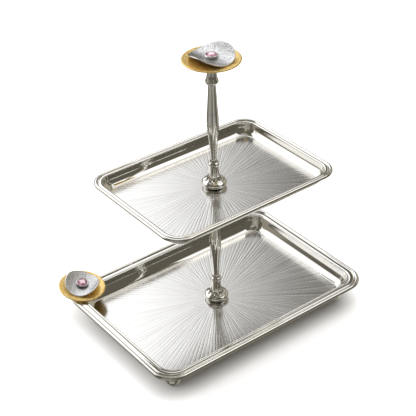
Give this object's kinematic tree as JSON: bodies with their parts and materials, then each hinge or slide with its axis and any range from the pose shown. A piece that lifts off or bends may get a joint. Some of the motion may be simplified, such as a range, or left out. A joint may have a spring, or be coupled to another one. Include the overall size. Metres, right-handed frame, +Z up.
{
  "type": "tiered cake stand",
  "caption": "Rectangular silver trays stacked on faceted columns, with a gold disc and curled petal as finial and a matching corner ornament, on ball feet.",
  "frame": {"origin": "where the axis of the columns meets the table that the feet stand on", "axes": "+Z up along the columns; +X along the trays' long side, towards the right; +Y towards the back, so the corner ornament is at the back left"},
  "size_m": [0.3065, 0.2298, 0.3448],
  "materials": {
    "tray_silver": "silver plate: satin floor engraved with rays from the column, mirror-polished wall and rim",
    "polished_silver": "mirror-polished silver plate",
    "petal_silver": "matte silver plate, brushed outwards from the middle",
    "satin_gold": "satin gold plate with fine rays and a polished edge",
    "rose_stone": "polished rose stone, facet cut",
    "plated_steel": "nickel-plated steel",
    "clear_washer": "translucent nylon"
  },
  "bodies": {
    "base": {"lower_tray": "tray_silver", "foot_front_left": "polished_silver", "foot_front_right": "polished_silver", "foot_back_left": "polished_silver", "foot_back_right": "polished_silver", "base_washer": "plated_steel", "base_nut": "plated_steel", "tie_rod": "plated_steel", "lower_column_base": "polished_silver", "lower_column_baluster": "polished_silver", "lower_column_neck": "polished_silver", "upper_tray_washer": "clear_washer", "upper_column_base": "polished_silver", "upper_column_baluster": "polished_silver", "upper_column_neck": "polished_silver", "corner_stem": "polished_silver", "corner_stem_foot": "polished_silver", "corner_disc": "satin_gold", "corner_spacer": "petal_silver", "corner_petal": "petal_silver", "corner_bezel": "petal_silver", "corner_gem": "rose_stone"},
    "upper_tray": {"upper_tray": "tray_silver"},
    "finial_boss": {"finial_boss": "plated_steel"},
    "finial": {"finial_disc": "satin_gold", "finial_spacer": "petal_silver", "finial_petal": "petal_silver", "finial_bezel": "petal_silver", "finial_gem": "rose_stone"}
  },
  "joints": [
    {"name": "upper_tray_turn", "type": "hinge", "parent": "base", "child": "upper_tray", "pos_m": [0, 0, 0.175], "axis": [0, 0, 1], "continuous": true},
    {"name": "finial_rise", "type": "slide", "parent": "base", "child": "finial_boss", "axis": [0, 0, 1], "range_m": [0, 0.0042]},
    {"name": "finial_unscrew", "type": "hinge", "parent": "finial_boss", "child": "finial", "pos_m": [0, 0, 0.334], "axis": [0, 0, 1], "range_deg": [0, 2160]}
  ],
  "couplings": [
    {"joint": "finial_rise", "follows": "finial_unscrew", "m_per_rad": 0.00011141}
  ]
}
